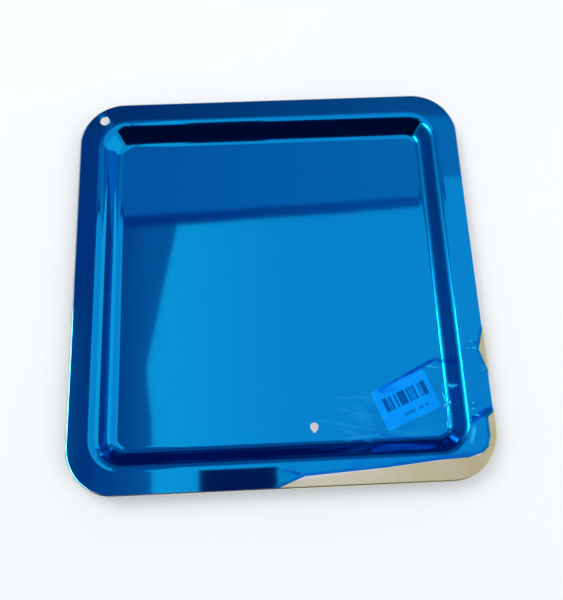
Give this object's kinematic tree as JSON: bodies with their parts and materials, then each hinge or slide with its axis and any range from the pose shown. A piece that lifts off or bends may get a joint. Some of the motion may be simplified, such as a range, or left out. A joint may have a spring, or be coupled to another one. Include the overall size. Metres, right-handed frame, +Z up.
{
  "type": "mud pan",
  "caption": "Shallow square pan pressed from polished stainless sheet, with a flat flange, a hanging hole and its blue protective film still on.",
  "frame": {"origin": "middle of the underside of the floor", "axes": "+Z up, out of the open recess; +X and +Y along the sides, with the hanging hole in the corner at -X +Y"},
  "size_m": [0.25, 0.25, 0.011],
  "materials": {
    "polished_steel": "mirror-polished stainless steel sheet",
    "blue_film": "translucent blue adhesive polyethylene film",
    "label_paper": "white label paper with plain printed bars"
  },
  "bodies": {
    "root": {"pan": "polished_steel", "protective_film": "blue_film", "barcode_label": "label_paper"}
  },
  "joints": []
}
